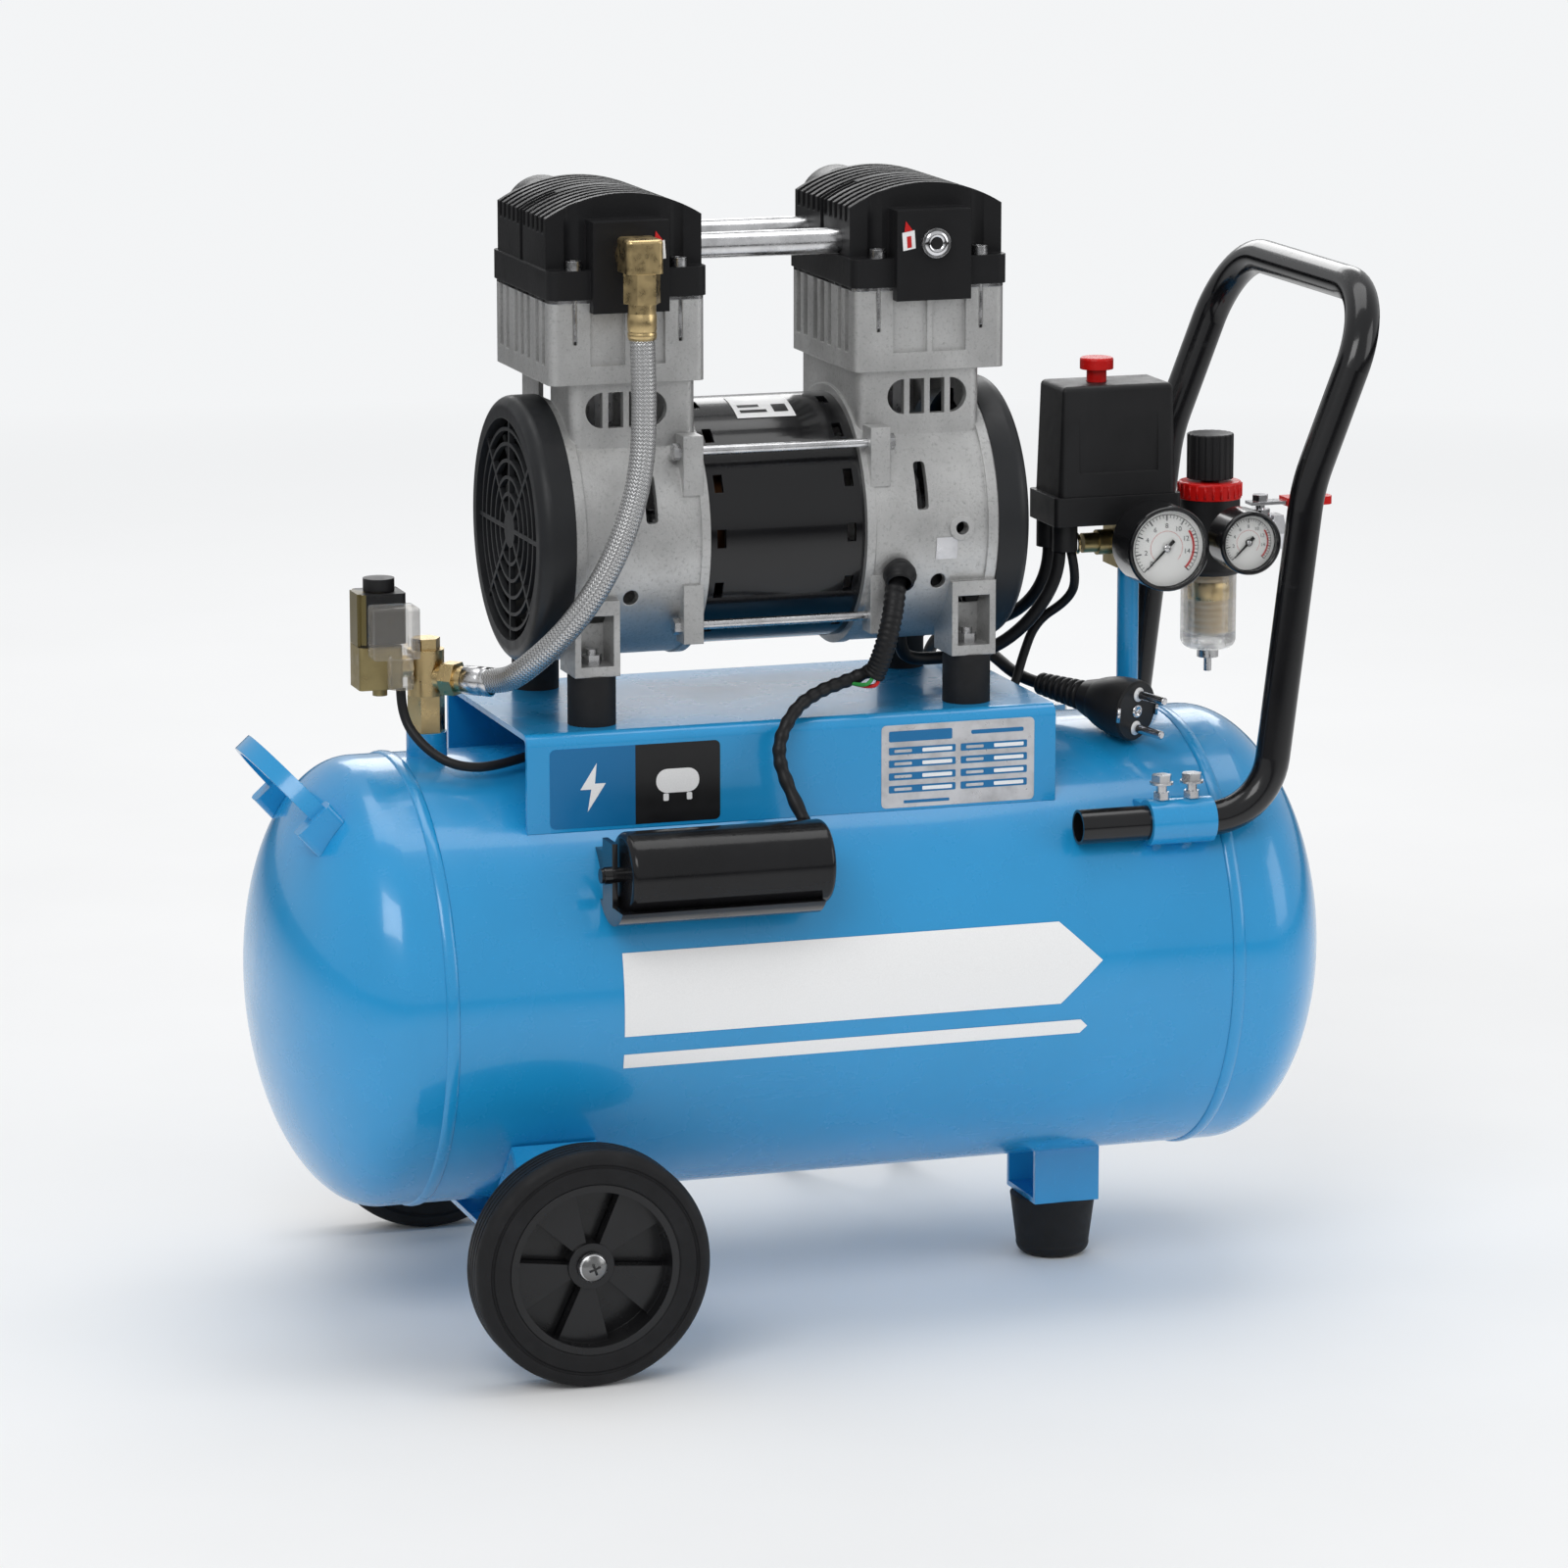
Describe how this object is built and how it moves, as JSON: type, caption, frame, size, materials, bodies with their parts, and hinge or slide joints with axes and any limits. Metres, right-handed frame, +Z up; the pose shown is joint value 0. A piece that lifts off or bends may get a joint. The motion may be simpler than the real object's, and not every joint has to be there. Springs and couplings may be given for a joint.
{
  "type": "air compressor",
  "caption": "Portable oil-free air compressor: piston pump and motor on a horizontal tank with wheels, a pull handle, pressure switch, regulator and gauges.",
  "frame": {"origin": "middle of the bounding box on the floor, cord left out", "axes": "+X along the tank to the pull handle's end, -Y the side with the dials, +Z up"},
  "size_m": [0.6272, 0.5145, 0.613],
  "materials": {
    "tank_blue": "gloss powder coat",
    "handle_black": "gloss black enamel",
    "cast_silver": "sand-cast, silver paint",
    "pump_black": "satin black paint",
    "motor_steel": "drawn steel tube",
    "zinc_steel": "bright zinc plate",
    "electrical_steel": "laminated stack",
    "ground_steel": "ground",
    "piston_metal": "machined",
    "tyre_black": "moulded",
    "mount_rubber": "moulded",
    "rim_black": "moulded",
    "fan_black": "moulded",
    "brass": "machined",
    "braid": "woven steel wire",
    "coil_black": "moulded, with an olive yoke",
    "clear_plastic": "clear moulded plastic",
    "can_black": "gloss sleeve",
    "lead_black": "extruded sheath",
    "plug_black": "moulded, with bright pins",
    "switch_black": "fine texture",
    "knob_red": "moulded",
    "gauge_black": "black steel case",
    "lens": "clear",
    "needle_black": "matt",
    "regulator_black": "moulded, with a red ring",
    "chrome": "nickel plate"
  },
  "bodies": {
    "frame": {"tank_barrel": "tank_blue", "tank_heads": "tank_blue", "motor_saddle": "tank_blue", "foot_bracket": "tank_blue", "handle_clamps": "tank_blue", "riser_pipe": "tank_blue", "lift_handle": "tank_blue", "wheel_bracket": "tank_blue", "pull_handle": "handle_black", "crankcase_left": "cast_silver", "crankcase_right": "cast_silver", "cylinders": "cast_silver", "cylinder_heads": "pump_black", "motor_shell": "pump_black", "crossover_tubes": "motor_steel", "axle_bolts": "zinc_steel", "bolts_and_nuts": "zinc_steel", "tie_rods": "zinc_steel", "check_valve": "zinc_steel", "stator": "electrical_steel", "shaft_bearings": "ground_steel", "valve_plates": "ground_steel", "pistons": "piston_metal", "rubber_foot": "mount_rubber", "vibration_mounts": "mount_rubber", "fan_guards": "fan_black", "intake_filters": "fan_black", "hose_fittings": "brass", "manifold": "brass", "solenoid_valve": "brass", "braided_hose": "braid", "solenoid_coil": "coil_black", "solenoid_connector": "clear_plastic", "filter_bowl": "clear_plastic", "capacitor": "can_black", "capacitor_bracket": "can_black", "capacitor_lead": "lead_black", "control_leads": "lead_black", "power_cord": "lead_black", "cord_coil": "lead_black", "plug": "plug_black", "switch_base": "switch_black", "switch_cover": "switch_black", "gauge_cases": "gauge_black", "gauge_lenses": "lens", "regulator_body": "regulator_black", "ball_valve": "chrome"},
    "front_wheel": {"front_tyre": "tyre_black", "front_rim": "rim_black"},
    "back_wheel": {"back_tyre": "tyre_black", "back_rim": "rim_black"},
    "rotor": {"rotor_core": "electrical_steel", "rotor_shaft": "ground_steel", "cooling_fans": "fan_black"},
    "knob_switch": {"switch_knob": "knob_red"},
    "knob_regulator": {"regulator_knob": "regulator_black"},
    "lever": {"valve_lever": "chrome"},
    "pointer_large": {"needle_large": "needle_black"},
    "pointer_small": {"needle_small": "needle_black"},
    "drain_screw": {"drain_valve": "brass"}
  },
  "joints": [
    {"name": "front_wheel_spin", "type": "hinge", "parent": "frame", "child": "front_wheel", "pos_m": [-0.1664, -0.165, 0.064], "axis": [0, 1, 0], "continuous": true},
    {"name": "back_wheel_spin", "type": "hinge", "parent": "frame", "child": "back_wheel", "pos_m": [-0.1664, 0.165, 0.064], "axis": [0, 1, 0], "continuous": true},
    {"name": "rotor_spin", "type": "hinge", "parent": "frame", "child": "rotor", "pos_m": [-0.0249, 0, 0.4285], "axis": [1, 0, 0], "continuous": true},
    {"name": "switch_press", "type": "slide", "parent": "frame", "child": "knob_switch", "axis": [0, 0, 1], "range_m": [-0.006, 0]},
    {"name": "regulator_turn", "type": "hinge", "parent": "frame", "child": "knob_regulator", "pos_m": [0.2438, 0, 0.44], "axis": [0, 0, 1], "range_deg": [-540, 540]},
    {"name": "valve_turn", "type": "hinge", "parent": "frame", "child": "lever", "pos_m": [0.2741, 0, 0.405], "axis": [0, 0, 1], "range_deg": [0, 90]},
    {"name": "large_gauge_swing", "type": "hinge", "parent": "frame", "child": "pointer_large", "pos_m": [0.1958, -0.058, 0.409], "axis": [0, 1, 0], "range_deg": [0, 270]},
    {"name": "small_gauge_swing", "type": "hinge", "parent": "frame", "child": "pointer_small", "pos_m": [0.2438, -0.058, 0.4096], "axis": [0, 1, 0], "range_deg": [0, 270]},
    {"name": "drain_turn", "type": "hinge", "parent": "frame", "child": "drain_screw", "pos_m": [0.0146, 0.05832, 0.06053], "axis": [0, -0.4226, 0.9063], "range_deg": [0, 540]}
  ]
}
